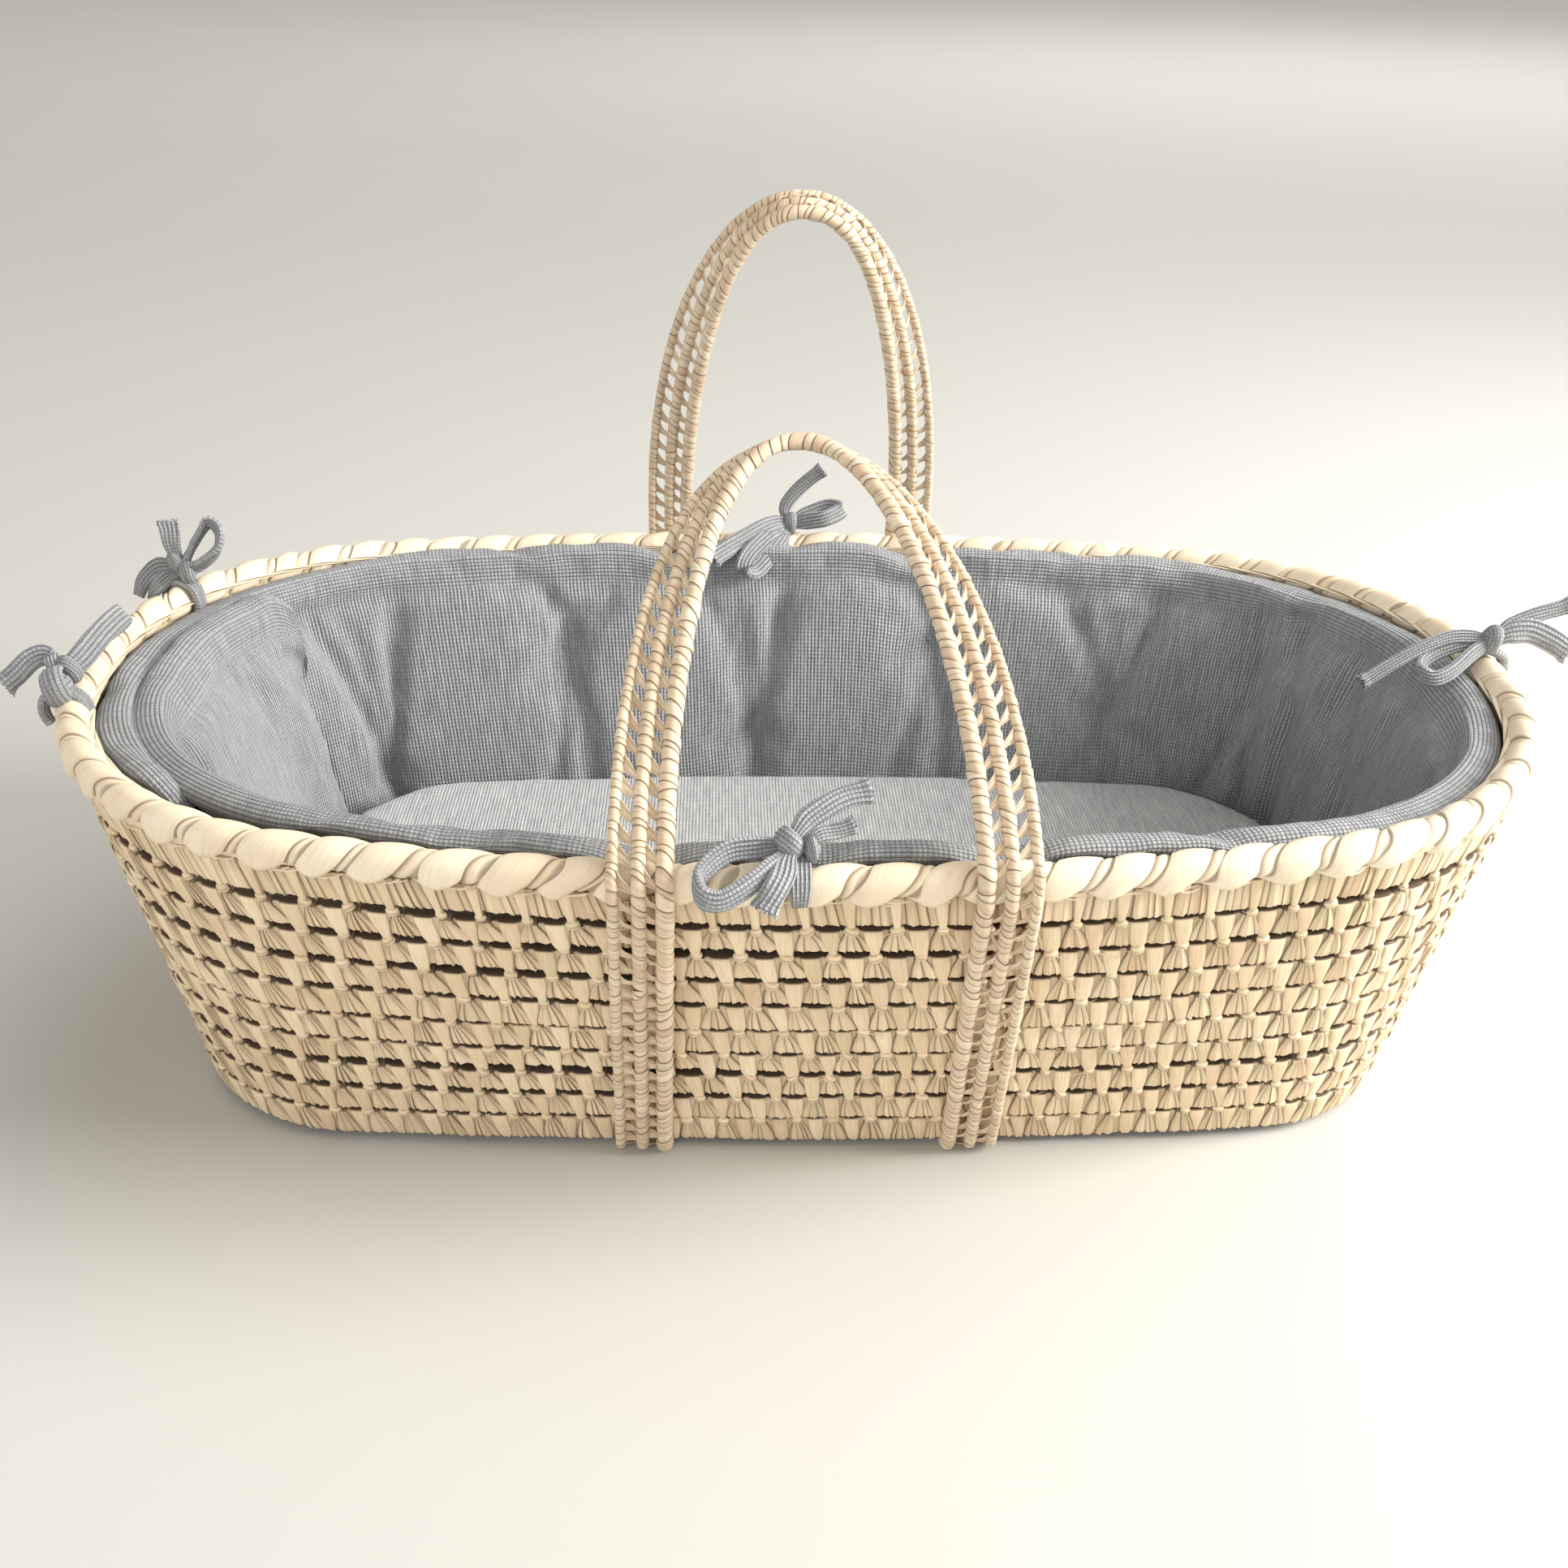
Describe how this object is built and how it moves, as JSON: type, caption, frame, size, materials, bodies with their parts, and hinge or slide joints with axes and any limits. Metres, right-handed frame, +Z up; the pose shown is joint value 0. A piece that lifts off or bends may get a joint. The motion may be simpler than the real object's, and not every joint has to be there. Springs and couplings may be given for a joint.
{
  "type": "moses basket",
  "caption": "Coiled palm-leaf moses basket with folding carry handles, under-base straps, tied padded bumper and lift-out oval mattress.",
  "frame": {"origin": "centre of the flat underside of the base", "axes": "+X along the basket, +Y across it to the back handle, +Z up"},
  "size_m": [0.913, 0.521, 0.4657],
  "materials": {
    "palm_leaf": "matte dried leaf",
    "rim_leaf": "satin dried leaf",
    "cord_leaf": "satin dried leaf",
    "waffle_fabric": "heather waffle weave",
    "tie_tape": "heather waffle weave",
    "thread": "cotton thread",
    "wadding": "white polyester wadding"
  },
  "bodies": {
    "basket": {"base_course_1": "palm_leaf", "base_course_2": "palm_leaf", "base_course_3": "palm_leaf", "base_course_4": "palm_leaf", "base_course_5": "palm_leaf", "base_course_6": "palm_leaf", "base_start": "palm_leaf", "bumper_cover": "waffle_fabric", "bumper_tufts": "thread", "bumper_wadding": "wadding", "left_strap_cord_inner": "cord_leaf", "left_strap_cord_middle": "cord_leaf", "left_strap_cord_outer": "cord_leaf", "left_strap_links": "cord_leaf", "right_strap_cord_inner": "cord_leaf", "right_strap_cord_middle": "cord_leaf", "right_strap_cord_outer": "cord_leaf", "right_strap_links": "cord_leaf", "rim_core": "palm_leaf", "rim_wrap": "rim_leaf", "tie_back": "tie_tape", "tie_front": "tie_tape", "tie_left_end": "tie_tape", "tie_left_rear": "tie_tape", "tie_right_end": "tie_tape", "wall_course_01": "palm_leaf", "wall_course_02": "palm_leaf", "wall_course_03": "palm_leaf", "wall_course_04": "palm_leaf", "wall_course_05": "palm_leaf", "wall_course_06": "palm_leaf", "wall_course_07": "palm_leaf", "wall_course_08": "palm_leaf", "wall_course_09": "palm_leaf", "wall_course_10": "palm_leaf"},
    "front_handle": {"front_handle_cord_inner": "cord_leaf", "front_handle_cord_middle": "cord_leaf", "front_handle_cord_outer": "cord_leaf", "front_handle_links": "cord_leaf"},
    "back_handle": {"back_handle_cord_inner": "cord_leaf", "back_handle_cord_middle": "cord_leaf", "back_handle_cord_outer": "cord_leaf", "back_handle_links": "cord_leaf"},
    "mattress": {"mattress_core": "wadding", "mattress_cover": "waffle_fabric"}
  },
  "joints": [
    {"name": "front_handle_fold", "type": "hinge", "parent": "basket", "child": "front_handle", "pos_m": [0, -0.2496, 0.225], "axis": [1, 0, 0], "range_deg": [-17.4, 142.6]},
    {"name": "back_handle_fold", "type": "hinge", "parent": "basket", "child": "back_handle", "pos_m": [0, 0.2496, 0.225], "axis": [1, 0, 0], "range_deg": [-106.8, 53.2]},
    {"name": "mattress_lift", "type": "slide", "parent": "basket", "child": "mattress", "axis": [0, 0, 1], "range_m": [0, 0.14]}
  ]
}
